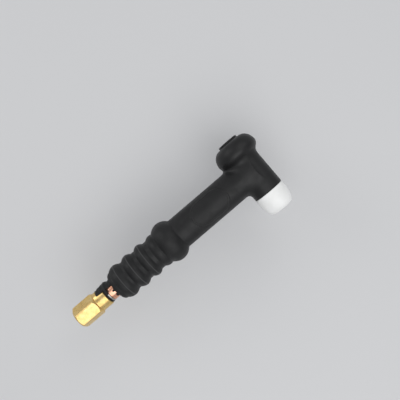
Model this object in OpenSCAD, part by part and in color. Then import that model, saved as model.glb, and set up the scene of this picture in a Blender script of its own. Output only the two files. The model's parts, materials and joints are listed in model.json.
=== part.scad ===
// Torch body with a flexible neck, lying on its side.
// X runs along the neck from the cable end to the head, the nozzle side of the head faces -Y,
// and the origin is on the head's axis in the plane of the head shell's front face.

/* [Head] */
// Distance from the head shell's front face to the neck's axis
neck_height = 14.9; // [14:0.1:17]
// Diameter of the head shell's barrel
barrel_d = 18.8; // [18:0.1:20]
// Diameter of the large rear disc of the head shell
disc_d = 26.6; // [24:0.1:28]
// Distance from the front face to the front edge of the rear disc
disc_start = 24.4; // [24:0.1:26]
// Distance from the front face to where the disc's side starts to round over
disc_shoulder = 28; // [27:0.1:30]
// Distance from the front face to the flat back of the disc
disc_back = 35.7; // [34:0.1:38]
// Distance from the front face to where the barrel starts to flare into the disc
flare_start = 19; // [17:0.1:22]
// Diameter of the flat on the disc's back
disc_flat_d = 14; // [13:0.1:18]
// Diameter of the lip around the back cap's thread
lip_d = 12.4; // [12.2:0.1:13]
// Height of that lip
lip_height = 1.4; // [1:0.1:2]
// Diameter of the brass core inside the barrel
core_d = 13.8; // [13:0.1:14.2]
// Diameter of the brass core inside the lip
core_rear_d = 10.9; // [10.6:0.1:11.2]
// Diameter of the front and rear threaded holes
head_thread_d = 9; // [8.6:0.1:9.4]
// Depth of the front and rear threaded holes inside the shell
head_thread_depth = 12; // [10:0.5:12]
// Diameter of the chamber between the two threads
chamber_d = 8; // [6:0.1:8.4]

/* [Cup gasket] */
// Diameter of the gasket's rim
gasket_d = 19; // [18.8:0.1:20]
// Length of the gasket's straight rim
gasket_rim = 3.5; // [3.2:0.1:6]
// Length of the whole gasket
gasket_length = 12.5; // [11:0.1:14]
// Diameter of the gasket's tip
gasket_tip_d = 11.4; // [11:0.1:14]
// Diameter of the gasket's through hole
gasket_bore_d = 10.2; // [10:0.1:10.6]
// Diameter of the core's spigot that the gasket is pushed onto
spigot_d = 12; // [11.4:0.1:12.4]
// Length of that spigot
spigot_length = 3; // [2:0.1:4]

/* [Flexible neck] */
// Outer diameter of the neck sheath
neck_d = 19; // [18.4:0.1:20]
// Inner diameter of the neck sheath
sheath_bore_d = 12.8; // [12.6:0.1:13.2]
// Outer diameter of the corrugated tube
flex_d = 12; // [11.6:0.1:12.2]
// Inner diameter of the corrugated tube
flex_bore_d = 8.4; // [8:0.1:8.8]
// Distance along the neck from the head's axis to the nearest hinge
last_hinge = 16.5; // [16:0.1:18]
// Distance between one hinge and the next
hinge_pitch = 5; // [4.8:0.1:5.2]
// Number of links between the grip and the head
link_count = 7; // [7:1:7]
// Furthest that one hinge turns each way, in degrees
hinge_limit = 10.95; // [5:0.05:11.5]

/* [Grip sleeve] */
// Diameter between the ribs
rib_root_d = 18.2; // [17.5:0.1:18.6]
// Diameter of a rib's crest
rib_d = 21.2; // [20.6:0.1:22]
// Distance from the head's axis to the crest of the rib nearest the head
first_rib = 78.8; // [78:0.1:80]
// Distance between one crest and the next
rib_pitch = 9.05; // [8.8:0.05:9.2]
// Number of full ribs
rib_count = 3; // [3:1:3]
// Radius of a rib's rounded section
rib_round = 5; // [4:0.1:6]
// Diameter of the low rib that runs into the collar
low_rib_d = 20.8; // [20:0.1:21.2]
// Diameter of the collar that stops the handle
collar_d = 25.3; // [24:0.1:26]
// Distance from the head's axis to the middle of the collar
collar_middle = 62; // [61:0.1:63]
// Radius of the collar's rounded section
collar_round = 8.4; // [7.5:0.1:9]
// Rounding of the sleeve's tail end
end_round = 2; // [1:0.1:2.1]
// Distance from the head's axis to the sleeve's tail end
sleeve_end = 103; // [102.5:0.1:104]

/* [Tail] */
// Length of bare tube between the sleeve's tail end and the braze ring
bare_tube = 4.4; // [3.5:0.1:5.5]
// Outer diameter of the copper tail tube
tube_d = 10.4; // [10:0.1:10.6]
// Inner diameter of the copper tail tube
tube_bore_d = 7.2; // [6.6:0.1:7.6]
// Outer diameter of the seal ring against the connector's shoulder
seal_d = 11; // [10.8:0.1:11.4]
// Outer diameter of the braze ring at the tube's end
braze_d = 10.7; // [10.4:0.1:10.9]
// Outer diameter of the inner sleeve that carries the tongue
boot_d = 13.9; // [13.4:0.1:14.2]
// Width of the boot's tongue, as an angle around the tube
tongue_angle = 116; // [90:1:150]
// Outer diameter of the ferrules at both ends of the corrugated tube
ferrule_d = 13.2; // [12.6:0.1:13.4]

/* [Cable connector] */
// Width of the hexagon across its flats
hex_flats = 12.7; // [12:0.1:13]
// Length of the hexagon
hex_length = 14.8; // [13:0.1:17]
// Diameter at which the chamfers of the hexagon's corners start
hex_chamfer_d = 11.4; // [10.6:0.1:12.4]
// Angle of those chamfers from the hexagon's end faces, in degrees
hex_chamfer_angle = 44; // [30:1:45]
// Turn of the hexagon about the tube's axis, in degrees
hex_turn = 41; // [0:1:60]
// Diameter of the round shoulder
shoulder_d = 11.9; // [11.4:0.1:12.4]
// Length of the round shoulder
shoulder_length = 6.6; // [5:0.1:8]
// Diameter of the threaded socket for the power cable
socket_d = 8.6; // [8.2:0.1:9]
// Depth of that socket
socket_depth = 12; // [10:0.5:14]
// Diameter of the gas passage
passage_d = 4.4; // [3:0.1:5]

/* [Hidden] */
$fn = 96;
rubber = "#26262a";
brass = "#d9b75c";
copper = "#c07a55";
solder = "#b9b9b4";
ptfe = "#f2f1ec";

eps = 0.01;              // overshoot of a cutting solid past the face it cuts
clearance = 0.3;         // least gap between two links at full bend
edge = 0.5;              // chamfer on a link's outer edges
ring_length = 1.1;       // length of a seal or braze ring
corrugations = 2;        // corrugations in one link of the tube
union_spigot = 6.8;      // how far the connector's spigot runs into the tube from the shoulder
root = 2;                // how far a turned step starts inside the wider one behind it
tongue_tip = 0.4;        // thickness of the boot's tongue at its tip
tongue_lap = 4.9;        // how far the tongue reaches over the connector's shoulder
boot_lap = 4.3;          // how far the boot starts inside the sleeve
boot_proud = 0.6;        // how far the boot's ring stands out of the sleeve's tail end

neck_r = neck_d / 2;
flex_r = flex_d / 2;
tube_r = tube_d / 2;
ferrule_r = ferrule_d / 2;
core_r = core_d / 2;
boot_r = boot_d / 2;
shoulder_r = shoulder_d / 2;
hex_corner_r = hex_flats / 2 / cos(30);
rib_root_r = rib_root_d / 2;
chamfer_r = hex_chamfer_d / 2;

// A link's end faces stop short of its hinges by half of what a full turn of the hinge takes up.
sheath_gap = 2 * neck_r * tan(hinge_limit / 2) + clearance;
flex_gap = 2 * flex_r * tan(hinge_limit / 2) + clearance;
first_hinge = last_hinge + link_count * hinge_pitch;

// Places along the neck, as distances from the head's axis towards the tail.
sleeve_start = first_hinge + sheath_gap / 2;
ferrule_start = first_hinge + flex_gap / 2;
ferrule_step = ferrule_start + 5.6;
ferrule_end = ferrule_start + 13;
tube_end = sleeve_end + bare_tube;
braze_end = tube_end + ring_length;
seal_end = braze_end + ring_length;
hex_start = seal_end + shoulder_length;
hex_end = hex_start + hex_length;
boot_start = sleeve_end - boot_lap;
boot_collar_end = sleeve_end + boot_proud;
tongue_end = seal_end + tongue_lap;
low_rib = first_rib - rib_pitch;

// Places inside the head, as distances from its axis towards the tail.
head_socket = core_r + 2.6;
head_ferrule_in = core_r - 1;
head_ferrule_out = last_hinge - flex_gap / 2;
head_stub = last_hinge - sheath_gap / 2;

// Stands a shape drawn along Z on the neck's axis, with its top towards the head.
module on_neck_axis() {
    translate([0, neck_height, 0]) rotate([0, 90, 0]) children();
}

// Stands a shape drawn along Z on the head's axis, with its top towards the back cap.
module on_head_axis() {
    rotate([-90, 0, 0]) children();
}

// A ring on the neck's axis between two distances from the head's axis.
module neck_ring(near, far, outer_r, inner_r) {
    on_neck_axis()
        rotate_extrude()
            translate([inner_r, -far])
                square([outer_r - inner_r, far - near]);
}

// The half section above a bore, between two distances from the head's axis.
module above_bore(near, far, bore_r) {
    intersection() {
        children();
        translate([bore_r, -far]) square([2 * collar_d, far - near]);
    }
}

// A round bead's section with its crest at the given place and radius.
module bead(place, crest_r, round) {
    translate([crest_r - round, -place]) circle(round);
}

// Points of an elliptical arc between two angles, counted from the outward radius.
function arc(centre, radii, from, to, steps) = [
    for (i = [0 : steps])
        let (angle = from + (to - from) * i / steps)
            centre + [radii[0] * cos(angle), radii[1] * sin(angle)]
];

module cable_connector() {
    color(brass) on_neck_axis() difference() {
        union() {
            translate([0, 0, -hex_end]) intersection() {
                rotate([0, 0, hex_turn]) cylinder(r = hex_corner_r, h = hex_length, $fn = 6);
                hex_blank();
            }
            translate([0, 0, -hex_start - root]) cylinder(r = shoulder_r, h = root + shoulder_length);
            translate([0, 0, -seal_end - root]) cylinder(d = tube_bore_d, h = root + union_spigot);
        }
        translate([0, 0, -hex_end - eps]) cylinder(d = socket_d, h = socket_depth + eps);
        translate([0, 0, -hex_end]) cylinder(d = passage_d, h = hex_end);
    }
}

// The turned blank, wider than the hexagon, whose cones chamfer the corners at both ends.
module hex_blank() {
    blank_r = hex_corner_r + 1;
    cone_h = (blank_r - chamfer_r) * tan(hex_chamfer_angle);
    rotate_extrude() polygon([
        [0, 0],
        [chamfer_r, 0],
        [blank_r, cone_h],
        [blank_r, hex_length - cone_h],
        [chamfer_r, hex_length],
        [0, hex_length]
    ]);
}

module connector_seal() {
    color(rubber) neck_ring(braze_end, seal_end, seal_d / 2, tube_bore_d / 2);
}

module rear_braze_ring() {
    color(solder) neck_ring(tube_end, braze_end, braze_d / 2, tube_bore_d / 2);
}

module tail_tube() {
    color(copper) neck_ring(ferrule_step, tube_end, tube_r, tube_bore_d / 2);
}

// The inner sleeve under the ribs, and the tongue that runs from it over the connector's shoulder.
module tail_boot() {
    tip_r = shoulder_r + tongue_tip;
    color(rubber) on_neck_axis() difference() {
        rotate_extrude() polygon([
            [tube_r, -boot_start],
            [boot_r, -boot_start],
            [boot_r, -braze_end],
            [tip_r, -tongue_end],
            [shoulder_r, -tongue_end],
            [shoulder_r, -seal_end],
            [seal_d / 2, -seal_end],
            [seal_d / 2, -tube_end],
            [tube_r, -tube_end]
        ]);
        translate([0, 0, -tongue_end - eps])
            linear_extrude(tongue_end - boot_collar_end + eps)
                difference() {
                    circle(boot_d);
                    tongue_sector(3 * boot_d);
                }
    }
}

// A triangle from the tube's axis that opens over the width of the tongue.
module tongue_sector(reach) {
    half = tongue_angle / 2;
    polygon([[0, 0], reach * [sin(half), cos(half)], reach * [-sin(half), cos(half)]]);
}

module grip_sleeve() {
    color(rubber) on_neck_axis() rotate_extrude() difference() {
        union() {
            polygon(concat(
                [[tube_r, -low_rib], [tube_r, -sleeve_end]],
                arc([rib_root_r - end_round, end_round - sleeve_end], [end_round, end_round], -90, 0, 4),
                [[rib_root_r, -low_rib]]
            ));
            translate([tube_r, -low_rib]) square([neck_r - tube_r, low_rib - sleeve_start]);
            above_bore(sleeve_start, sleeve_end, tube_r) union() {
                for (i = [0 : rib_count - 1]) bead(first_rib + i * rib_pitch, rib_d / 2, rib_round);
                bead(low_rib, low_rib_d / 2, rib_round);
                bead(collar_middle, collar_d / 2, collar_round);
            }
        }
        translate([0, -ferrule_end]) square([ferrule_r, ferrule_end]);
        translate([0, -sleeve_end - eps]) square([boot_r, sleeve_end - boot_start + eps]);
    }
}

module rear_ferrule() {
    color(brass) difference() {
        neck_ring(ferrule_start, ferrule_end, ferrule_r, flex_bore_d / 2);
        neck_ring(ferrule_step, ferrule_end + eps, tube_r, 0);
    }
}

// One link of the corrugated tube, between hinge k and the next hinge towards the head.
module flex_tube(k) {
    far = first_hinge - (k - 1) * hinge_pitch - flex_gap / 2;
    near = first_hinge - k * hinge_pitch + flex_gap / 2;
    step = (far - near) / corrugations;
    wave = step / 2;
    color(copper) on_neck_axis() rotate_extrude() difference() {
        union() {
            translate([flex_bore_d / 2, -far]) square([flex_r - wave - flex_bore_d / 2, far - near]);
            for (i = [0 : corrugations - 1])
                translate([flex_r - wave, -far + (i + 0.5) * step]) circle(wave - 0.05);
        }
        translate([0, -far]) square([flex_bore_d / 2, far - near]);
    }
}

// One link of the neck's rubber sheath, over the link of the corrugated tube with the same number.
module neck_sheath(k) {
    far = first_hinge - (k - 1) * hinge_pitch - sheath_gap / 2;
    near = first_hinge - k * hinge_pitch + sheath_gap / 2;
    color(rubber) on_neck_axis() rotate_extrude() polygon([
        [sheath_bore_d / 2, -far],
        [neck_r - edge, -far],
        [neck_r, -far + edge],
        [neck_r, -near - edge],
        [neck_r - edge, -near],
        [sheath_bore_d / 2, -near]
    ]);
}

module front_ferrule() {
    color(brass) neck_ring(head_ferrule_in, head_ferrule_out, flex_r, flex_bore_d / 2);
}

module front_braze_ring() {
    color(solder) neck_ring(head_socket, head_socket + ring_length, core_r, flex_r);
}

module head_core() {
    rear = disc_back + 0.2;
    color(brass) difference() {
        union() {
            on_head_axis() cylinder(r = core_r, h = disc_shoulder);
            on_head_axis() translate([0, 0, -spigot_length]) cylinder(d = spigot_d, h = disc_shoulder);
            on_head_axis() cylinder(d = core_rear_d, h = rear);
            neck_ring(0, head_socket, core_r, 0);
        }
        on_head_axis() translate([0, 0, -spigot_length - eps])
            cylinder(d = head_thread_d, h = spigot_length + head_thread_depth + eps);
        on_head_axis() cylinder(d = chamber_d, h = rear);
        on_head_axis() translate([0, 0, rear - head_thread_depth])
            cylinder(d = head_thread_d, h = head_thread_depth + eps);
        neck_ring(head_ferrule_in, head_socket + eps, flex_r, 0);
        neck_ring(0, head_socket, passage_d / 2, 0);
    }
}

module head_shell() {
    front_round = 1.2;
    inner_end_r = barrel_d / 2 - 0.4;
    color(rubber) difference() {
        union() {
            on_head_axis() cylinder(d = barrel_d, h = disc_shoulder);
            on_head_axis() rotate_extrude() polygon(concat(
                [[0, flare_start], [barrel_d / 2, flare_start], [disc_d / 2 - front_round, disc_start]],
                [[disc_d / 2, disc_start + front_round]],
                arc(
                    [disc_flat_d / 2, disc_shoulder],
                    [(disc_d - disc_flat_d) / 2, disc_back - disc_shoulder],
                    0, 90, 8
                ),
                [[0, disc_back]]
            ));
            on_head_axis() cylinder(d = lip_d, h = disc_back + lip_height);
            on_neck_axis() rotate_extrude() polygon([
                [0, 0],
                [inner_end_r, 0],
                [neck_r, -barrel_d / 2 - 1.6],
                [neck_r, -head_stub + edge],
                [neck_r - edge, -head_stub],
                [0, -head_stub]
            ]);
        }
        on_head_axis() translate([0, 0, -eps]) cylinder(r = core_r, h = disc_shoulder + eps);
        on_head_axis() cylinder(d = core_rear_d, h = disc_back + lip_height + eps);
        neck_ring(0, head_stub + eps, core_r, 0);
    }
}

module cup_gasket() {
    taper = gasket_length - gasket_rim;
    color(ptfe) mirror([0, 1, 0]) on_head_axis() difference() {
        rotate_extrude() polygon(concat(
            [[0, 0], [gasket_d / 2, 0]],
            arc([gasket_tip_d / 2, gasket_rim], [(gasket_d - gasket_tip_d) / 2, taper], 0, 90, 6),
            [[0, gasket_length]]
        ));
        translate([0, 0, -eps]) cylinder(d = spigot_d, h = spigot_length + eps);
        cylinder(d = gasket_bore_d, h = gasket_length + eps);
    }
}

cable_connector();
connector_seal();
rear_braze_ring();
tail_tube();
tail_boot();
grip_sleeve();
rear_ferrule();
for (k = [1 : link_count]) flex_tube(k);
for (k = [1 : link_count]) neck_sheath(k);
front_ferrule();
front_braze_ring();
head_core();
head_shell();
cup_gasket();
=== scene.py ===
"""The looks of a TIG torch body with a flexible neck, on its side above a pale floor.

Lengths are in millimetres until a mesh is made, and metres from then on. Round pieces are
described by (along, radius) outlines turned about the neck's axis or the head's axis.
"""
import json
import math

import bpy
import numpy as np
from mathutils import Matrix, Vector


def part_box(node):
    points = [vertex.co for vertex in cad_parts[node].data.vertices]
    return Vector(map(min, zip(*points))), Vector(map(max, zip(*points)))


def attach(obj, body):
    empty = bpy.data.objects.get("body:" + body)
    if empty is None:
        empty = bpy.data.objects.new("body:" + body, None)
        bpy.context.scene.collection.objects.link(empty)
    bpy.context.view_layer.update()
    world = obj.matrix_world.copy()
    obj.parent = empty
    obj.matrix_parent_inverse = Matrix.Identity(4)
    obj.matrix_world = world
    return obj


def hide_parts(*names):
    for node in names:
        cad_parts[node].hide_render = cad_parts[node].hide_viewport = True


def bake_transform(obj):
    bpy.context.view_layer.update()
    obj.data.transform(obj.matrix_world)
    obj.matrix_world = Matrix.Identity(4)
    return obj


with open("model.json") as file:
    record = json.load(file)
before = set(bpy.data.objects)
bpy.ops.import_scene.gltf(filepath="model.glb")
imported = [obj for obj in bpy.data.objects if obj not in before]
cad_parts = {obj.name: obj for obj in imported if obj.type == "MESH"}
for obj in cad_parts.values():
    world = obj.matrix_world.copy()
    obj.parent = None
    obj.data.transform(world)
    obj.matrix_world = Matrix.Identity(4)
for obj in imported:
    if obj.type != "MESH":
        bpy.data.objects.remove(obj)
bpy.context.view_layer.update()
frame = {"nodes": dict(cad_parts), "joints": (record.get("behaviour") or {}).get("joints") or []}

MM = 0.001

# ---------------------------------------------------------------- places read from the frame


def box_mm(node):
    """Lowest and highest corner of a CAD node, in millimetres."""
    low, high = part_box(node)
    return np.array(low) / MM, np.array(high) / MM


HINGES = sorted(joint["pos_m"][0] / MM for joint in frame["joints"])
PITCH = HINGES[1] - HINGES[0]
NECK_Y = frame["joints"][0]["pos_m"][1] / MM
LINKS = len(HINGES) - 1
BODIES = ["grip"] + [f"neck_link_{k + 1}" for k in range(LINKS)] + ["head"]

NECK_R = box_mm("neck_sheath_1")[1][2]
FLEX_R = box_mm("flex_tube_1")[1][2]
TUBE_R = box_mm("tail_tube")[1][2]
TUBE_END = box_mm("tail_tube")[0][0]
BRAZE_R = box_mm("rear_braze_ring")[1][2]
BRAZE_END = box_mm("rear_braze_ring")[0][0]
SEAL_R = box_mm("connector_seal")[1][2]
SEAL_END = box_mm("connector_seal")[0][0]
BOOT_START = box_mm("tail_boot")[1][0]
TONGUE_END = box_mm("tail_boot")[0][0]
SLEEVE_END = box_mm("grip_sleeve")[0][0]
COLLAR_R = box_mm("grip_sleeve")[1][2]
HEX_END, SPIGOT_START = box_mm("cable_connector")[0][0], box_mm("cable_connector")[1][0]
HEX_CORNER_R = (box_mm("cable_connector")[1] - box_mm("cable_connector")[0])[1] / 2
DISC_R = box_mm("head_shell")[1][2]
LIP_END = box_mm("head_shell")[1][1]
CORE_FRONT, CORE_REAR = box_mm("head_core")[0][1], box_mm("head_core")[1][1]
CORE_R = box_mm("head_core")[1][2]
GASKET_R = box_mm("cup_gasket")[1][2]
GASKET_END = box_mm("cup_gasket")[0][1]
BOOT_R = box_mm("tail_boot")[1][2]
FERRULE_END = box_mm("rear_ferrule")[0][0]
FERRULE_R = box_mm("rear_ferrule")[1][2]
BOSS_END = box_mm("front_braze_ring")[1][0]


def swung_depth():
    """How far below the neck's axis the head reaches at the limit of the sideways hinges."""
    depth, angle, reached = 0, 0, HINGES[0]
    for joint in sorted(frame["joints"], key=lambda one: one["pos_m"][0]):
        place = joint["pos_m"][0] / MM
        depth += (place - reached) * math.sin(angle)
        reached = place
        if abs(joint["axis"][1]) > 0.5:
            angle += math.radians(joint["range_deg"][1])
    return depth - reached * math.sin(angle) + DISC_R


FLOOR_CLEARANCE = 0.5
FLOOR_Z = -(swung_depth() + FLOOR_CLEARANCE) * MM     # clear of the head however the neck is bent

# ---------------------------------------------------------------- dimensions of the looks

GAP = 0.02               # between pieces that are pushed or screwed together
SEAM_LAP = 0.5           # how far the head runs under the neck's skin
SEAM_DIP = 0.12          # how far below the skin's surface it runs there
SEAM_RAMP = 0.3          # length over which it dips
NECK_BORE_R = 6.7        # inside of the neck's skin, clear of the corrugated tube
GRIP_SEAM = HINGES[0] - PITCH / 2     # where the grip's surface hands over to the skin
HEAD_SEAM = HINGES[-1] + PITCH / 2    # where the skin hands over to the head
PARTING_HEIGHT = 0.1     # mould line in the plane of the neck and head
PARTING_WIDTH = 0.14

RIB_CRESTS = [-78.8, -87.85, -96.9]
RIB_CREST_R = 10.6
RIB_ROOT_R = 9.1
RIB_ROUND = [4.0, 4.8, 6.0]
LOW_RIB = (-69.9, 10.35, 4.6)
COLLAR = (-62.2, COLLAR_R, 8.2)
RIB_BLEND, COLLAR_BLEND = 0.5, 0.6
ROOT_RISE_START, ROOT_RISE_LENGTH = 6, 4       # where the ribs' root rises to the neck's size
RIB_EDGE_SHIFT, RIB_EDGE_HEIGHT, RIB_EDGE_WIDTH = 0.5, 0.2, 0.2
TAIL_DOME = 2.6          # length over which the sleeve's tail end rounds in
TAIL_RIM = 0.2           # wall left round the boot at the very end

PAD_MIDDLE, PAD_HALF_LENGTH, PAD_HALF_WIDTH = -32.0, 12.4, 8.0
PAD_HEIGHT, PAD_EDGE = 0.22, 0.5
PAD_GROOVE, PAD_GROOVE_INSET, PAD_GROOVE_WIDTH = 0.14, 1.0, 0.22

BARREL_R = 9.4
DISC_FRONT, DISC_SHOULDER, DISC_BACK = 24.2, 28.0, 35.7
DISC_FLAT_R = 7.0
LIP_R = 6.2
LIP_BORE_R = 5.5
FLANK_RISE, FLANK_RUN = 0.9, 0.42       # slope of the disc's front flank
DISC_ROUND, BARREL_ROUND, LIP_ROUND, LIP_BORE_ROUND = 2.4, 0.7, 0.35, 0.25
DISC_FILLET, LIP_FILLET, NECK_FILLET = 3.2, 0.5, 3.0

# Tail boot: strips are (middle angle, half width in degrees, tip, fillet), and the profile and
# bore are radii at places along the neck.
BOOT_RING = 0.5
TONGUE_MIDDLE, TONGUE_HALF, TONGUE_FILLET = -90, 60, 1.1
TABS = [(4, 6, SLEEVE_END - 1.9, 0.6), (38, 7, SLEEVE_END - 1.7, 0.7)]
SPUR_X, SPUR_ANGLE, SPUR_SIZE, SPUR_STRETCH = TUBE_END - 0.6, -20, 1.0, 2.6
BOOT_EDGE_ROUND, STRIP_BLEND = 0.35, 0.4
BOOT_PROFILE = (
    [-114.5, -112.8, -110.6, -109.2, -107.3, -105.6, -104.6, -103.0],
    [6.1, 6.25, 6.75, 6.75, 7.2, 6.35, 6.2, 6.6],
)
BOOT_RAGGED = 0.12       # how uneven the torn rubber's edges and thickness are

HEX_LENGTH = 14.8
HEX_START = HEX_END + HEX_LENGTH
SHOULDER_R = 5.95
HEX_TURN = math.radians(11)
HEX_CORNER_CUT, HEX_CORNER_ROUND, CHAMFER_ROUND = 0.12, 0.15, 0.12
CHAMFER_LENGTH = 1.8     # length at each end where the outline is finely divided for the chamfer
CHAMFER_R, CHAMFER_ANGLE = 5.7, math.radians(44)
SOCKET_R, SOCKET_DEPTH, SOCKET_PITCH = 4.3, 12.0, 1.06
BOOT_BORE = (
    [SEAL_END - 0.05, SEAL_END + 0.05, TUBE_END - 0.05, TUBE_END + 0.05],
    [SHOULDER_R + GAP, SEAL_R + GAP, SEAL_R + GAP, TUBE_R + GAP],
)
PASSAGE_R = 2.2
SPIGOT_R = 3.58
TUBE_BORE_R = 3.6
FERRULE_STEP = FERRULE_END + 7.4

SPIGOT_CORE_R, SPIGOT_CORE_LENGTH = 6.0, 3.0
CORE_TAIL_R = 5.45
THREAD_R, THREAD_DEPTH, THREAD_PITCH = 4.5, 12.0, 1.0
THREAD_RELIEF, SOCKET_RELIEF = 0.4, 0.45
PORT_DEPTH, PORT_EDGE = 2.4, 0.25
FERRULE_SEAT = 3.6
CHAMBER_R = 4.0
GASKET_RIM, GASKET_TIP_R, GASKET_BORE_R = 3.5, 5.7, 5.1

SAME = 0.001             # radii closer than this are the same wall
NEAR = 0.01              # slack when asking which stretch of an outline a point is on
BEAD_EDGE = 0.999        # share of a bead's radius where its arc is cut off
GROOVE_SLOPE, GROOVE_LAND = 1.3, 0.15          # shape of a thread's groove across one pitch
CHAMFER_SPACING, THREAD_SPACING = 0.09, 0.08
COARSE = 99              # side spacing that leaves a straight side whole
GRIP_SPACING = 0.13
SKIN_RINGS = 27
HEAD_GRID, BOOT_GRID = 0.24, 0.16
GRID_MARGIN = 0.6


# ---------------------------------------------------------------- mesh helpers

def make_object(name, points_mm, faces, material):
    """A smooth-shaded mesh from points in millimetres, with edges over 35 degrees kept sharp."""
    mesh = bpy.data.meshes.new(name)
    mesh.from_pydata((np.asarray(points_mm) * MM).tolist(), [], np.asarray(faces).tolist())
    mesh.polygons.foreach_set("use_smooth", [True] * len(mesh.polygons))
    mesh.set_sharp_from_angle(angle=math.radians(35))
    mesh.materials.append(material)
    piece = bpy.data.objects.new(name, mesh)
    bpy.context.scene.collection.objects.link(piece)
    return piece


def rounded(*corners, arc_steps=6, spacing=1.0):
    """A closed outline through (along, radius, fillet) corners, with arcs and evenly split sides.

    A fourth number is the spacing of points on the side that follows that corner.
    """
    spacings = [corner[3] if len(corner) > 3 else spacing for corner in corners]
    corners = np.array([corner[:3] for corner in corners], float)
    points, steps = [], []
    neighbours = zip(np.roll(corners, 1, 0), corners, np.roll(corners, -1, 0), spacings)
    for before, here, after, step in neighbours:
        at, fillet = here[:2], here[2]
        back, ahead = before[:2] - at, after[:2] - at
        back, ahead = back / np.linalg.norm(back), ahead / np.linalg.norm(ahead)
        half = math.acos(np.clip(back @ ahead, -1, 1)) / 2
        if fillet <= 0 or half > 1.55:
            points.append(at)
            steps.append(step)
            continue
        reach = fillet / math.tan(half)
        middle = at + (back + ahead) / np.linalg.norm(back + ahead) * fillet / math.sin(half)
        first, last = at + back * reach - middle, at + ahead * reach - middle
        turn = math.atan2(first[0] * last[1] - first[1] * last[0], first @ last)
        for i in range(arc_steps + 1):
            a = turn * i / arc_steps
            c, s = math.cos(a), math.sin(a)
            points.append(middle + [c * first[0] - s * first[1], s * first[0] + c * first[1]])
            steps.append(step)
    return split_sides(np.array(points), steps)


def split_sides(points, steps):
    """The closed outline with every side longer than its step cut into equal parts."""
    out = []
    for a, b, step in zip(points, np.roll(points, -1, 0), steps):
        parts = max(1, int(np.ceil(np.linalg.norm(b - a) / step)))
        out.extend(a + (b - a) * i / parts for i in range(parts))
    return np.array(out)


def neck_points(along, radius, angle):
    """Points round the neck's axis; the angle runs from +Z (the top) towards -Y (the nozzle)."""
    return np.stack([along, NECK_Y - radius * np.sin(angle), radius * np.cos(angle)], -1)


def head_points(along, radius, angle):
    """Points round the head's axis; the angle runs from +Z towards +X."""
    return np.stack([radius * np.sin(angle), along, radius * np.cos(angle)], -1)


def even_angles(steps):
    return np.arange(steps) * 2 * math.pi / steps


def crowded_angles(*stretches):
    """Angles in radians from (from, to, step) stretches in degrees, each end left to the next."""
    return np.radians(np.concatenate([np.arange(*stretch) for stretch in stretches]))


def lathe(name, place, outline, material, angles=None, shape=None):
    """A closed ring of the outline turned about an axis, which shape() may move point by point."""
    angles = even_angles(160) if angles is None else angles
    along, angle = np.meshgrid(outline[:, 0], angles, indexing="ij")
    radius = np.meshgrid(outline[:, 1], angles, indexing="ij")[0]
    if shape:
        along, radius = shape(along, radius, angle)
    points = place(along, radius, angle).reshape(-1, 3)
    n, m = len(outline), len(angles)
    i, j = np.meshgrid(np.arange(n), np.arange(m), indexing="ij")
    a, b = i * m + j, i * m + (j + 1) % m
    c, d = ((i + 1) % n) * m + (j + 1) % m, ((i + 1) % n) * m + j
    faces = np.stack([a, b, c, d], -1).reshape(-1, 4)
    return make_object(name, points, outward(points, faces), material)


def outward(points, faces):
    """The faces, turned over if the closed mesh they make is inside out."""
    p = points[faces]
    volume = np.einsum("ij,ij->i", p[:, 0], np.cross(p[:, 1], p[:, 2])).sum()
    volume += np.einsum("ij,ij->i", p[:, 0], np.cross(p[:, 2], p[:, 3])).sum()
    return faces if volume > 0 else faces[:, ::-1]


# ---------------------------------------------------------------- implicit surfaces

def smooth_min(a, b, k):
    """The smaller of two fields, with their meeting rounded over a width of k."""
    h = np.clip(0.5 + 0.5 * (b - a) / k, 0, 1)
    return b * (1 - h) + a * h - k * h * (1 - h)


def smooth_max(a, b, k):
    return -smooth_min(-a, -b, k)


def ease(t):
    """0 to 1 with level ends."""
    t = np.clip(t, 0, 1)
    return t * t * (3 - 2 * t)


def gradient(field, p, h=0.01):
    g = np.empty_like(p)
    for axis in range(3):
        d = np.zeros(3)
        d[axis] = h
        g[:, axis] = (field(p + d) - field(p - d)) / (2 * h)
    return g


def settle(field, p, reach, rounds=4):
    """Moves points onto the field's zero surface, each round by no more than reach."""
    for _ in range(rounds):
        g = gradient(field, p)
        move = field(p)[:, None] * g / np.maximum((g * g).sum(1), 1e-6)[:, None]
        length = np.linalg.norm(move, axis=1, keepdims=True)
        p = p - move * np.minimum(1, reach / np.maximum(length, 1e-9))
    return p


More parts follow.
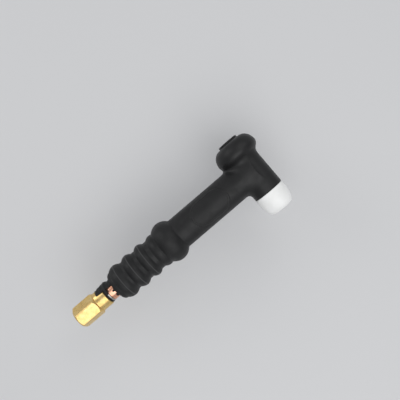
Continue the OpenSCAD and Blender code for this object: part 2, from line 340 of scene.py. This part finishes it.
def skin_of(field, low, high, step):
    """Points and quads of the field's zero surface, by surface nets on a regular grid."""
    low, high = np.array(low, float), np.array(high, float)
    count = np.ceil((high - low) / step).astype(int) + 1
    axes = [low[a] + step * np.arange(count[a]) for a in range(3)]
    value = np.empty(count)
    for i, x in enumerate(axes[0]):
        y, z = np.meshgrid(axes[1], axes[2], indexing="ij")
        value[i] = field(np.stack([np.full_like(y, x), y, z], -1).reshape(-1, 3)).reshape(y.shape)
    inside = value < 0
    cells = count - 1
    total, crossings = np.zeros((*cells, 3)), np.zeros(cells)
    corner = np.stack(np.meshgrid(*[a[:-1] for a in axes], indexing="ij"), -1)
    for axis in range(3):
        others = [a for a in range(3) if a != axis]
        for du in (0, 1):
            for dv in (0, 1):
                shift = np.zeros(3, int)
                shift[others[0]], shift[others[1]] = du, dv
                end = shift.copy()
                end[axis] = 1
                here = tuple(slice(s, s + n) for s, n in zip(shift, cells))
                there = tuple(slice(s, s + n) for s, n in zip(end, cells))
                cut = inside[here] != inside[there]
                span = np.where(cut, value[there] - value[here], 1)
                t = np.clip(np.where(cut, -value[here] / span, 0), 0, 1)
                point = corner + shift * step
                point[..., axis] += t * step
                total += np.where(cut[..., None], point, 0)
                crossings += cut
    live = crossings > 0
    index = np.full(cells, -1)
    index[live] = np.arange(live.sum())
    points = total[live] / crossings[live][:, None]
    faces = []
    for axis in range(3):
        u, v = (axis + 1) % 3, (axis + 2) % 3
        inner = [slice(1, c) for c in cells]
        inner[axis] = slice(0, cells[axis])
        ahead = list(inner)
        ahead[axis] = slice(1, cells[axis] + 1)
        first, second = inside[tuple(inner)], inside[tuple(ahead)]

        def cell(du, dv):
            sl = list(inner)
            sl[u] = slice(1 - du, cells[u] - du)
            sl[v] = slice(1 - dv, cells[v] - dv)
            return index[tuple(sl)]

        ring = np.stack([cell(0, 0), cell(1, 0), cell(1, 1), cell(0, 1)], -1)
        faces.append(ring[first & ~second])
        faces.append(ring[~first & second][:, ::-1])
    faces = np.concatenate(faces)
    return settle(field, points, step), faces


# ---------------------------------------------------------------- the rubber's shape

PARTING = (84, 96, 0.4)             # the mould line a quarter turn from the top, in degrees
PARTING_BELOW = (264, 276, 0.4)
GRIP_ANGLES = crowded_angles((-84, 84, 2), PARTING, (96, 264, 2), PARTING_BELOW)
PAD_ANGLES = crowded_angles((-48, 48, 1), (48, 84, 3), PARTING, (96, 264, 3), PARTING_BELOW,
                            (276, 312, 3))


def bead_r(x, crest_x, crest_r, round_r):
    """Radius of one rounded bead along the neck, and far below everything outside it."""
    run = np.clip(np.abs(x - crest_x), 0, round_r * BEAD_EDGE)
    return crest_r - round_r + np.sqrt(round_r ** 2 - run ** 2)


def grip_r(x):
    """Outer radius of the grip sleeve, without its mould line."""
    rise = ease((x - RIB_CRESTS[0] - ROOT_RISE_START) / ROOT_RISE_LENGTH)
    base = RIB_ROOT_R + (NECK_R - RIB_ROOT_R) * rise
    r = smooth_max(base, bead_r(x, *COLLAR), COLLAR_BLEND)
    r = smooth_max(r, bead_r(x, *LOW_RIB), RIB_BLEND)
    for crest_x, round_r in zip(RIB_CRESTS, RIB_ROUND):
        r = smooth_max(r, bead_r(x, crest_x, RIB_CREST_R, round_r), RIB_BLEND)
        r = r + RIB_EDGE_HEIGHT * np.exp(-((x - crest_x - RIB_EDGE_SHIFT) / RIB_EDGE_WIDTH) ** 2)
    return r


def parting_line(z):
    """Height of the mould line at a distance z from the parting plane."""
    return PARTING_HEIGHT * np.exp(-(z / PARTING_WIDTH) ** 2)


def pad_height(x, angle):
    """Height of the blank raised oval on top of the neck, with a fine groove inside its edge."""
    side = np.arctan2(np.sin(angle), np.cos(angle)) * NECK_R
    straight = PAD_HALF_LENGTH - PAD_HALF_WIDTH
    along = np.maximum(np.abs(x - PAD_MIDDLE) - straight, 0)
    edge = PAD_HALF_WIDTH - np.hypot(along, side)
    plate = PAD_HEIGHT * ease((edge + PAD_EDGE / 2) / PAD_EDGE)
    groove = PAD_GROOVE * np.exp(-((edge - PAD_GROOVE_INSET) / PAD_GROOVE_WIDTH) ** 2)
    return plate - groove


def head_field(p):
    """Negative inside the head's outer shape, whose neck runs out towards the tail for ever."""
    x, y, z = p[:, 0], p[:, 1], p[:, 2]
    r = np.hypot(x, z)
    side = np.maximum(r - DISC_FLAT_R, 0) / (DISC_R - DISC_FLAT_R)
    back = np.maximum(y - DISC_SHOULDER, 0) / (DISC_BACK - DISC_SHOULDER)
    dome = (np.hypot(side, back) - 1) * (DISC_R - DISC_FLAT_R)
    flank = (DISC_FRONT - y) * FLANK_RISE + (r - BARREL_R) * FLANK_RUN
    disc = smooth_max(dome, flank, DISC_ROUND)
    barrel = smooth_max(r - BARREL_R, -y, BARREL_ROUND)
    head = smooth_min(disc, np.maximum(barrel, y - DISC_SHOULDER), DISC_FILLET)
    lip = smooth_max(r - LIP_R, y - LIP_END, LIP_ROUND)
    head = smooth_min(head, lip, LIP_FILLET)
    neck = np.maximum(np.hypot(y - NECK_Y, z) - NECK_R, x)
    return smooth_min(head, neck, NECK_FILLET) - parting_line(z)


def head_shell_field(p):
    """The head's shell: hollow for the core and the neck's socket, and lapped under the skin."""
    x, y, z = p[:, 0], p[:, 1], p[:, 2]
    r = np.hypot(x, z)
    lap = SEAM_DIP * ease((HEAD_SEAM - x) / SEAM_RAMP)
    solid = np.maximum(head_field(p) + lap, HEAD_SEAM - SEAM_LAP - x)
    solid = smooth_max(solid, LIP_BORE_R - r, LIP_BORE_ROUND)
    core_room = np.maximum(r - CORE_R - GAP, y - DISC_SHOULDER)
    neck_room = np.maximum(np.hypot(y - NECK_Y, z) - CORE_R - GAP, x)
    return np.maximum(solid, -np.minimum(core_room, neck_room))


def neck_r(x, angle):
    """Radius of the neck's skin: the head's own surface, carried out along the neck, and the pad.

    The surface is looked for by halving, between 1 mm inside the neck and 8 mm outside it.
    """
    low, high = np.full(x.shape, NECK_R - 1), np.full(x.shape, NECK_R + 8)
    for _ in range(24):
        middle = (low + high) / 2
        outside = head_field(neck_points(x, middle, angle).reshape(-1, 3)).reshape(x.shape) > 0
        low, high = np.where(outside, low, middle), np.where(outside, middle, high)
    return middle + pad_height(x, angle)


def boot_field(p):
    """The inner sleeve under the ribs: a ring with two torn tabs and a long tapered tongue."""
    x, across = p[:, 0], p[:, 1] - NECK_Y
    r = np.hypot(across, p[:, 2])
    angle = np.degrees(np.arctan2(-across, p[:, 2]))

    def patch(middle, half_width, tip_x, fillet):
        """A round-ended strip of the rubber that reaches from the sleeve to tip_x."""
        side = np.abs((angle - middle + 180) % 360 - 180) - half_width
        side = np.radians(side) * BOOT_R + fillet
        end = tip_x - x + fillet
        return np.hypot(np.maximum(side, 0), np.maximum(end, 0)) + np.minimum(
            np.maximum(side, end), 0) - fillet

    # Waves of unrelated lengths make the edges and the thickness look torn.
    turn = np.radians(angle)
    ragged = BOOT_RAGGED * (np.sin(turn * 9 + 1) + 0.7 * np.sin(turn * 17 + x))
    cover = SLEEVE_END - BOOT_RING - ragged - x
    for strip in TABS:
        cover = smooth_min(cover, patch(*strip), BOOT_EDGE_ROUND)
    tongue = patch(TONGUE_MIDDLE, TONGUE_HALF, TONGUE_END, TONGUE_FILLET) + ragged
    cover = smooth_min(cover, tongue, STRIP_BLEND)
    spur_side = np.radians(angle - SPUR_ANGLE) * BOOT_R / SPUR_STRETCH
    cover = smooth_min(cover, np.hypot(spur_side, x - SPUR_X) - SPUR_SIZE, STRIP_BLEND)
    outer = r - np.interp(x, *BOOT_PROFILE) - BOOT_RAGGED * np.sin(2.3 * x + 3 * turn)
    inner = np.interp(x, *BOOT_BORE) - r
    shell = smooth_max(outer, cover, BOOT_EDGE_ROUND)
    return np.maximum(np.maximum(shell, inner), x - BOOT_START)


# ---------------------------------------------------------------- materials

NOISE_SPAN = 0.3, 0.7     # nearly all of a noise's values lie between these


class Surface:
    """A procedural Principled material whose noises are laid out in the object's own metres."""

    def __init__(self, name, colour, roughness, **sockets):
        self.material = bpy.data.materials.new(name)
        self.material.use_nodes = True
        self.tree = self.material.node_tree
        self.shader = self.tree.nodes["Principled BSDF"]
        self.shader.inputs["Base Color"].default_value = (*colour, 1)
        self.shader.inputs["Roughness"].default_value = roughness
        for socket, value in sockets.items():
            self.shader.inputs[socket.replace("_", " ")].default_value = value
        self.place = self.tree.nodes.new("ShaderNodeTexCoord").outputs["Object"]
        self.bumped = None

    def node(self, kind, **settings):
        node = self.tree.nodes.new(kind)
        for key, value in settings.items():
            setattr(node, key, value)
        return node

    def noise(self, size_mm, detail=3, stretch=(1, 1, 1)):
        """Noise whose blotches are about size_mm, longer along an axis by its stretch."""
        mapping = self.node("ShaderNodeMapping")
        mapping.inputs["Scale"].default_value = [1 / (s * size_mm * MM) for s in stretch]
        self.tree.links.new(self.place, mapping.inputs["Vector"])
        noise = self.node("ShaderNodeTexNoise")
        noise.inputs["Scale"].default_value = 1
        noise.inputs["Detail"].default_value = detail
        self.tree.links.new(mapping.outputs["Vector"], noise.inputs["Vector"])
        return noise.outputs["Fac"]

    def rings(self, period_mm, axis, wander=1.5):
        """Turned lines across an axis, with their spacing a little uneven."""
        wave = self.node("ShaderNodeTexWave", wave_type="BANDS", bands_direction=axis)
        wave.inputs["Scale"].default_value = 2 * math.pi / (20 * period_mm * MM)
        wave.inputs["Distortion"].default_value = wander
        wave.inputs["Detail Scale"].default_value = 0.4
        self.tree.links.new(self.place, wave.inputs["Vector"])
        return wave.outputs["Fac"]

    def colour(self, factor, *stops):
        """Colours the surface along the factor by (position, colour) stops."""
        ramp = self.node("ShaderNodeValToRGB")
        ramp.color_ramp.elements[0].position, ramp.color_ramp.elements[1].position = 0, 1
        while len(ramp.color_ramp.elements) < len(stops):
            ramp.color_ramp.elements.new(0.5)
        for element, (position, colour) in zip(ramp.color_ramp.elements, stops):
            element.position, element.color = position, (*colour, 1)
        self.tree.links.new(factor, ramp.inputs["Fac"])
        self.tree.links.new(ramp.outputs["Color"], self.shader.inputs["Base Color"])
        return self

    def calculate(self, operation, a, b):
        """The result of a math node on a link or value and a value."""
        node = self.node("ShaderNodeMath", operation=operation)
        self.tree.links.new(a, node.inputs[0])
        if isinstance(b, float):
            node.inputs[1].default_value = b
        else:
            self.tree.links.new(b, node.inputs[1])
        return node.outputs["Value"]

    def painted_highlight_rings(self, first_mm, pitch_mm, last_mm, half_width_mm, colour):
        """Greys narrow rings at an even pitch along X, from first_mm to last_mm: a painted
        highlight along each rib's edge.
        """
        split = self.node("ShaderNodeSeparateXYZ")
        self.tree.links.new(self.place, split.inputs["Vector"])
        along = split.outputs["X"]
        away = self.calculate("SUBTRACT", along, first_mm * MM)
        away = self.calculate("PINGPONG", away, pitch_mm * MM / 2)
        ring = self.node("ShaderNodeMapRange")
        ring.inputs["From Min"].default_value = half_width_mm * MM
        ring.inputs["From Max"].default_value = half_width_mm * MM / 3
        self.tree.links.new(away, ring.inputs["Value"])
        within = self.calculate("LESS_THAN", along, (last_mm + half_width_mm) * MM)
        mix = self.node("ShaderNodeMixRGB")
        mix.inputs["Color2"].default_value = (*colour, 1)
        amount = self.calculate("MULTIPLY", ring.outputs["Result"], within)
        self.tree.links.new(amount, mix.inputs["Fac"])
        body = self.shader.inputs["Base Color"].links[0].from_socket
        self.tree.links.new(body, mix.inputs["Color1"])
        self.tree.links.new(mix.outputs["Color"], self.shader.inputs["Base Color"])
        return self

    def rough(self, factor, low, high):
        """Takes the roughness from low to high over the noise's usual span."""
        span = self.node("ShaderNodeMapRange")
        span.inputs["From Min"].default_value, span.inputs["From Max"].default_value = NOISE_SPAN
        span.inputs["To Min"].default_value, span.inputs["To Max"].default_value = low, high
        self.tree.links.new(factor, span.inputs["Value"])
        self.tree.links.new(span.outputs["Result"], self.shader.inputs["Roughness"])
        return self

    def bump(self, factor, height_mm, strength=1.0):
        """Adds relief of the given height on top of any bump the surface has already."""
        bump = self.node("ShaderNodeBump")
        bump.inputs["Distance"].default_value = height_mm * MM
        bump.inputs["Strength"].default_value = strength
        self.tree.links.new(factor, bump.inputs["Height"])
        if self.bumped:
            self.tree.links.new(self.bumped, bump.inputs["Normal"])
        self.bumped = bump.outputs["Normal"]
        self.tree.links.new(self.bumped, self.shader.inputs["Normal"])
        return self


def rubber(name, dark, light, roughness, grain_mm=0.3, rings=None):
    """Black moulded rubber: fine grain, and broad faint greying where it is handled."""
    surface = Surface(name, dark, roughness, Specular_IOR_Level=0.35)
    surface.colour(surface.noise(9, 5), (0.35, dark), (0.72, light))
    # Lighter rings at the ribs' edges are painted highlights.
    if rings:
        surface.painted_highlight_rings(*rings)
    surface.rough(surface.noise(3.5, 4), roughness - 0.06, roughness + 0.1)
    surface.bump(surface.noise(grain_mm, 2), 0.02, 0.5)
    surface.bump(surface.noise(4, 2), 0.08, 0.3)
    return surface.material


def turned_metal(name, colours, roughness, axis, ring_mm, ring_depth):
    """Metal with turned rings across an axis, and patches of three tints."""
    surface = Surface(name, colours[0], roughness, Metallic=1.0)
    surface.colour(surface.noise(3.5, 4), *zip((0.32, 0.5, 0.7), colours))
    surface.rough(surface.noise(1.6, 3), roughness - 0.04, roughness + 0.1)
    surface.bump(surface.rings(ring_mm, axis), ring_depth, 0.5)
    surface.bump(surface.noise(1.5, 2), 0.005, 0.3)
    return surface.material


def fluoropolymer(name):
    """White turned plastic, faintly translucent, with fine turned lines across the head's axis."""
    surface = Surface(name, (0.86, 0.86, 0.84), 0.36, Subsurface_Weight=0.12)
    surface.shader.inputs["Subsurface Radius"].default_value = (0.002, 0.002, 0.002)
    surface.shader.inputs["Subsurface Scale"].default_value = 0.6
    surface.colour(surface.noise(6, 3), (0.3, (0.84, 0.84, 0.82)), (0.7, (0.9, 0.9, 0.89)))
    surface.bump(surface.rings(0.22, "Y"), 0.012, 0.6)
    surface.rough(surface.noise(1.5, 2), 0.3, 0.44)
    return surface.material


BLACK, WORN_BLACK = (0.006, 0.006, 0.0063), (0.012, 0.012, 0.0123)
# The lighter grey rings along the ribs' edges are painted highlights, standing in for the light
# that the edges catch.
PAINTED_HIGHLIGHT_HALF_WIDTH, PAINTED_HIGHLIGHT_GREY = 0.36, (0.05, 0.05, 0.05)
RIB_EDGE_HIGHLIGHTS = (RIB_CRESTS[-1] + RIB_EDGE_SHIFT, RIB_CRESTS[0] - RIB_CRESTS[1],
             RIB_CRESTS[0] + RIB_EDGE_SHIFT, PAINTED_HIGHLIGHT_HALF_WIDTH, PAINTED_HIGHLIGHT_GREY)
GRIP_RUBBER = rubber("grip_rubber", BLACK, WORN_BLACK, 0.5, rings=RIB_EDGE_HIGHLIGHTS)
NECK_RUBBER = rubber("neck_rubber", BLACK, WORN_BLACK, 0.5)
HEAD_RUBBER = rubber("head_moulding", BLACK, (0.0105, 0.0105, 0.0108), 0.44)
BOOT_RUBBER = rubber("boot_rubber", (0.007, 0.007, 0.0075), (0.013, 0.013, 0.0135), 0.56, 0.22)
SEAL_RUBBER = rubber("seal_rubber", (0.006, 0.006, 0.0065), (0.01, 0.01, 0.0105), 0.5, 0.2)
BRASS = turned_metal("brass", ((0.74, 0.51, 0.19), (0.8, 0.57, 0.23), (0.86, 0.65, 0.3)),
                     0.27, "X", 0.25, 0.008)
CORE_BRASS = turned_metal("core_brass", ((0.72, 0.48, 0.18), (0.8, 0.56, 0.23), (0.85, 0.62, 0.3)),
                          0.28, "Y", 0.25, 0.008)
COPPER = turned_metal("copper", ((0.72, 0.33, 0.2), (0.84, 0.43, 0.28), (0.9, 0.52, 0.37)),
                      0.24, "X", 0.5, 0.005)
BRAZE = turned_metal("silver_braze", ((0.28, 0.27, 0.25), (0.4, 0.385, 0.36), (0.5, 0.485, 0.46)),
                     0.36, "X", 0.6, 0.015)
PTFE = fluoropolymer("ptfe")


# ---------------------------------------------------------------- pieces

def threaded(along, radius, angle, start, end, crest_r, pitch, depth):
    """The radius with a helical groove cut into the bore of crest_r between start and end."""
    turn = (along / pitch - angle / (2 * math.pi)) % 1
    groove = np.clip(GROOVE_SLOPE * (1 - np.abs(2 * turn - 1)) - GROOVE_LAND, 0, 1)
    runout = ease((along - start) / pitch) * ease((end - along) / pitch)
    return radius + np.where(np.abs(radius - crest_r) < SAME, groove * runout * depth, 0)


def add(piece, body, slot, *nodes):
    """Puts a piece on its body and hides the nodes that it stands for; the slot is not used."""
    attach(piece, body)
    if nodes:
        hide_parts(*nodes)
    return piece


def grip_sleeve():
    """The ribbed sleeve that the torch's handle is pushed onto."""
    turn = np.linspace(0, math.pi / 2, 12)
    tail = SLEEVE_END + TAIL_DOME
    sides = np.arange(GRIP_SEAM, tail, -GRIP_SPACING)
    outer = np.stack([sides, grip_r(sides)], -1)
    dome_r = BOOT_R + GAP + TAIL_RIM + (RIB_ROOT_R - BOOT_R - GAP - TAIL_RIM) * np.cos(turn)
    dome = np.stack([tail - TAIL_DOME * np.sin(turn), dome_r], -1)
    bore = rounded((SLEEVE_END, BOOT_R + GAP, 0), (BOOT_START, BOOT_R + GAP, 0),
                   (BOOT_START, TUBE_R + GAP, 0), (FERRULE_END, TUBE_R + GAP, 0),
                   (FERRULE_END, FERRULE_R + GAP, 0), (GRIP_SEAM, FERRULE_R + GAP, 0),
                   spacing=COARSE)
    outline = np.concatenate([outer, dome, bore])

    def shape(along, radius, angle):
        outside = radius > RIB_ROOT_R - 0.05
        return along, radius + np.where(outside, parting_line(radius * np.cos(angle)), 0)

    return lathe("grip_sleeve", neck_points, outline, GRIP_RUBBER, GRIP_ANGLES, shape)


def neck_skin(k):
    """The stretch of the neck's rubber that bends at hinge k, half way to the hinges beside it."""
    start = GRIP_SEAM + (k - 1) * PITCH
    x = np.linspace(start, start + PITCH, SKIN_RINGS)
    outer = np.stack([x, np.full_like(x, NECK_R)], -1)
    inner = np.array([[start + PITCH, NECK_BORE_R], [start, NECK_BORE_R]])

    def shape(along, radius, angle):
        return along, np.where(radius > NECK_BORE_R, neck_r(along, angle), radius)

    outline = np.concatenate([outer, split_sides(inner, (0.4, COARSE))])
    piece = lathe(f"neck_skin_{k}", neck_points, outline, NECK_RUBBER, PAD_ANGLES, shape)
    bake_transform(piece)
    if k <= LINKS:
        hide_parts(f"neck_sheath_{k}")


def head_shell():
    """The head's black moulding, on a grid laid evenly about the parting plane."""
    half_cells = math.ceil((DISC_R + 0.5) / HEAD_GRID)
    low_z = -(half_cells + 0.5) * HEAD_GRID
    low = (HEAD_SEAM - SEAM_LAP - 0.7, -GRID_MARGIN, low_z)
    high = (DISC_R + GRID_MARGIN, LIP_END + GRID_MARGIN, -low_z)
    points, faces = skin_of(head_shell_field, low, high, HEAD_GRID)
    return make_object("head_shell", points, faces, HEAD_RUBBER)


def tail_boot():
    """The torn inner sleeve, with the tongue that lies over the tube and the connector."""
    low = (TONGUE_END - GRID_MARGIN, NECK_Y - BOOT_R - 1, -BOOT_R - 1)
    high = (BOOT_START + GRID_MARGIN, NECK_Y + BOOT_R + 1, BOOT_R + 1)
    points, faces = skin_of(boot_field, low, high, BOOT_GRID)
    return make_object("tail_boot", points, faces, BOOT_RUBBER)


def cable_connector():
    """Brass union: a chamfered hexagon, a round shoulder, and a spigot brazed into the tube."""
    flat = HEX_CORNER_R * math.cos(math.pi / 6)
    outline = rounded(
        (HEX_END, SOCKET_R, 0.3), (HEX_END, CHAMFER_R, 0, CHAMFER_SPACING),
        (HEX_END + CHAMFER_LENGTH, HEX_CORNER_R, 0),
        (HEX_START - CHAMFER_LENGTH, HEX_CORNER_R, 0, CHAMFER_SPACING),
        (HEX_START, CHAMFER_R + 0.45, 0),
        (HEX_START, SHOULDER_R, 0.25), (SEAL_END, SHOULDER_R, 0.45),
        (SEAL_END, SPIGOT_R, 0), (SPIGOT_START, SPIGOT_R, 0.3), (SPIGOT_START, PASSAGE_R, 0.3),
        (HEX_END + SOCKET_DEPTH, PASSAGE_R, 0),
        (HEX_END + SOCKET_DEPTH, SOCKET_R, 0, THREAD_SPACING),
        spacing=0.6)

    def shape(along, radius, angle):
        in_hex = (along > HEX_END - NEAR) & (along < HEX_START + NEAR)
        in_hex = in_hex & (radius > CHAMFER_R - NEAR)
        from_end = np.minimum(along - HEX_END, HEX_START - along)
        cone = CHAMFER_R + from_end / math.tan(CHAMFER_ANGLE)
        turn = (angle - HEX_TURN + math.pi / 6) % (math.pi / 3) - math.pi / 6
        corner_r = HEX_CORNER_R - HEX_CORNER_CUT
        hexagon = smooth_min(flat / np.cos(turn), corner_r, HEX_CORNER_ROUND)
        cut = np.where(in_hex, smooth_min(hexagon, cone, CHAMFER_ROUND), radius)
        cut = np.where(in_hex & (radius < SHOULDER_R + 0.3), np.minimum(cut, radius), cut)
        return along, threaded(along, cut, angle, HEX_END, HEX_END + SOCKET_DEPTH, SOCKET_R,
                               SOCKET_PITCH, SOCKET_RELIEF)

    angles = even_angles(360) + HEX_TURN
    return lathe("cable_connector", neck_points, outline, BRASS, angles, shape)


def connector_seal():
    """The black ring between the connector's shoulder and the braze."""
    outline = rounded((SEAL_END, TUBE_BORE_R, 0), (SEAL_END, SEAL_R, 0.45),
                      (BRAZE_END, SEAL_R, 0.45), (BRAZE_END, TUBE_BORE_R, 0))
    return lathe("connector_seal", neck_points, outline, SEAL_RUBBER)


def rear_braze_ring():
    """The bead of filler between the copper tube and the connector, never quite even."""
    outline = rounded((BRAZE_END, TUBE_BORE_R, 0), (BRAZE_END, BRAZE_R, 0.25, 0.15),
                      (TUBE_END, BRAZE_R, 0.5), (TUBE_END, TUBE_BORE_R, 0))

    def shape(along, radius, angle):
        sag = 0.07 * np.sin(3 * angle + 0.8) + 0.05 * np.sin(7 * angle + 6 * along)
        return along, np.where(radius > TUBE_R, radius + np.minimum(sag, 0), radius)

    return lathe("rear_braze_ring", neck_points, outline, BRAZE, shape=shape)


def tail_tube():
    """The copper tube from the connector to the corrugated tube's ferrule."""
    outline = rounded((TUBE_END, TUBE_BORE_R + GAP, 0), (TUBE_END, TUBE_R, 0.2),
                      (FERRULE_STEP, TUBE_R, 0.2), (FERRULE_STEP, TUBE_BORE_R + GAP, 0))
    return lathe("tail_tube", neck_points, outline, COPPER)


def head_core():
    """The brass core in the head: threads at both ends, and a chamber that the gas enters."""
    outline = rounded(
        (CORE_FRONT, THREAD_R, 0.35), (CORE_FRONT, SPIGOT_CORE_R, 0.3), (0, SPIGOT_CORE_R, 0),
        (0, CORE_R, 0.15), (DISC_SHOULDER, CORE_R, 0), (DISC_SHOULDER, CORE_TAIL_R, 0),
        (CORE_REAR, CORE_TAIL_R, 0.12), (CORE_REAR, THREAD_R, 0.12, THREAD_SPACING),
        (CORE_REAR - THREAD_DEPTH, THREAD_R, 0), (CORE_REAR - THREAD_DEPTH, CHAMBER_R, 0, 0.2),
        (THREAD_DEPTH, CHAMBER_R, 0), (THREAD_DEPTH, THREAD_R, 0, THREAD_SPACING), spacing=1.5)

    def shape(along, radius, angle):
        for start, end in ((CORE_FRONT, THREAD_DEPTH), (CORE_REAR - THREAD_DEPTH, CORE_REAR)):
            radius = threaded(along, radius, angle, start, end, THREAD_R, THREAD_PITCH,
                              THREAD_RELIEF)
        port = np.hypot(along - NECK_Y, CHAMBER_R * np.sin((angle + math.pi / 2) / 2) * 2)
        in_port = (np.abs(radius - CHAMBER_R) < SAME) * ease((PASSAGE_R - port) / PORT_EDGE)
        return along, radius + PORT_DEPTH * in_port

    return lathe("head_core", head_points, outline, CORE_BRASS, even_angles(200), shape)


def core_boss():
    """The core's stub that the corrugated tube's ferrule is brazed into."""
    outline = rounded((-CHAMBER_R - 0.2, PASSAGE_R, 0), (-CHAMBER_R - 0.2, CORE_R - 0.1, 0),
                      (BOSS_END, CORE_R - 0.1, 0), (BOSS_END, FLEX_R + GAP, 0.2),
                      (BOSS_END + FERRULE_SEAT, FLEX_R + GAP, 0),
                      (BOSS_END + FERRULE_SEAT, PASSAGE_R, 0))
    return lathe("core_boss", neck_points, outline, CORE_BRASS)


def cup_gasket():
    """The white heat shield that a gas cup seats on, pushed onto the core's front spigot."""
    taper = -GASKET_END - GASKET_RIM
    turn = np.linspace(0, math.pi / 2, 28)[1:-1]
    nose = np.stack([-GASKET_RIM - taper * np.sin(turn),
                     GASKET_TIP_R + (GASKET_R - GASKET_TIP_R) * np.cos(turn)], -1)
    front = rounded((0, GASKET_R, 0.25), (-GASKET_RIM, GASKET_R, 0),
                    (GASKET_END, GASKET_TIP_R, 0.12), (GASKET_END, GASKET_BORE_R, 0.15),
                    (-SPIGOT_CORE_LENGTH, GASKET_BORE_R, 0),
                    (-SPIGOT_CORE_LENGTH, SPIGOT_CORE_R + GAP, 0), (0, SPIGOT_CORE_R + GAP, 0.1))
    rim = np.flatnonzero(np.all(np.isclose(front, (-GASKET_RIM, GASKET_R)), 1))[0]
    tip = np.flatnonzero(np.isclose(front[:, 0], GASKET_END, atol=0.13))[0]
    outline = np.concatenate([front[:rim + 1], nose, front[tip:]])
    return lathe("cup_gasket", head_points, outline, PTFE)


add(grip_sleeve(), "grip", "grip_rubber", "grip_sleeve")
add(tail_boot(), "grip", "boot_rubber", "tail_boot")
add(cable_connector(), "grip", "brass", "cable_connector")
add(connector_seal(), "grip", "seal_rubber", "connector_seal")
add(rear_braze_ring(), "grip", "silver_braze", "rear_braze_ring")
add(tail_tube(), "grip", "copper", "tail_tube")
for hinge in range(1, len(BODIES)):
    neck_skin(hinge)
add(head_shell(), "head", "head_moulding", "head_shell")
add(head_core(), "head", "core_brass", "head_core")
add(core_boss(), "head", "core_brass")
add(cup_gasket(), "head", "ptfe", "cup_gasket")


def finish_node(node, material):
    """Gives a CAD node that stays its procedural material."""
    kept = frame["nodes"][node]
    kept.data.materials.clear()
    kept.data.materials.append(material)


for link in range(1, LINKS + 1):
    finish_node(f"flex_tube_{link}", COPPER)
finish_node("rear_ferrule", BRASS)
finish_node("front_ferrule", BRASS)
finish_node("front_braze_ring", BRAZE)


# ---------------------------------------------------------------- floor, light and camera

VIEW_MIDDLE = Vector((-33.6, 21.7, 0)) * MM
CAMERA_TURN = math.radians(40.5)
CAMERA_HEIGHT = 0.3
FRAME_WIDTH = 0.2308
SENSOR_WIDTH = 36

FLOOR_HALF = 4.0
FLOOR_GREY = (0.64, 0.64, 0.645)
ROOM_LIGHT, ROOM_STRENGTH = (0.95, 0.97, 1.0, 1), 0.5
LIGHTS = (      # name, place from the middle of the view, size, power
    ("key", (-0.06, -0.26, 0.5), 0.6, 1.7),
    ("fill", (0.4, 0.2, 0.45), 0.4, 0.6),
    ("rim", (-0.25, 0.45, 0.25), 0.3, 0.5),
)


def floor():
    """A plain pale floor, which isn't part of the object."""
    corners = [(x * FLOOR_HALF, y * FLOOR_HALF) for x, y in ((-1, -1), (1, -1), (1, 1), (-1, 1))]
    mesh = bpy.data.meshes.new("floor")
    mesh.from_pydata([(x, y, FLOOR_Z) for x, y in corners], [], [(0, 1, 2, 3)])
    ground = bpy.data.objects.new("floor", mesh)
    bpy.context.scene.collection.objects.link(ground)
    mesh.materials.append(Surface("floor", FLOOR_GREY, 0.7, Specular_IOR_Level=0.2).material)


def area_light(name, place, aim, size, power):
    """A square soft box at a place, in metres, turned towards the aim."""
    lamp = bpy.data.lights.new(name, "AREA")
    lamp.shape, lamp.size, lamp.energy = "SQUARE", size, power
    light = bpy.data.objects.new(name, lamp)
    light.location = place
    light.rotation_euler = (aim - place).to_track_quat("-Z", "Y").to_euler()
    bpy.context.scene.collection.objects.link(light)


def studio(middle):
    """A pale room, a large key from the nozzle side, a fill from the head and a rim from behind."""
    world = bpy.data.worlds.new("studio")
    world.use_nodes = True
    background = world.node_tree.nodes["Background"]
    background.inputs["Color"].default_value = ROOM_LIGHT
    background.inputs["Strength"].default_value = ROOM_STRENGTH
    bpy.context.scene.world = world
    bpy.context.scene.view_settings.view_transform = "Standard"
    for name, place, size, power in LIGHTS:
        area_light(name, middle + Vector(place), middle, size, power)


def camera(middle):
    """Looks straight down from above, with the head towards the upper right."""
    view = bpy.data.cameras.new("camera")
    view.sensor_width = SENSOR_WIDTH
    view.lens = view.sensor_width * CAMERA_HEIGHT / FRAME_WIDTH
    view.clip_start = 0.01
    eye = bpy.data.objects.new("camera", view)
    eye.location = middle + Vector((0, 0, CAMERA_HEIGHT))
    eye.rotation_euler = (0, 0, -CAMERA_TURN)
    bpy.context.scene.collection.objects.link(eye)
    bpy.context.scene.camera = eye


floor()
studio(VIEW_MIDDLE)
camera(VIEW_MIDDLE)

bpy.context.view_layer.update()
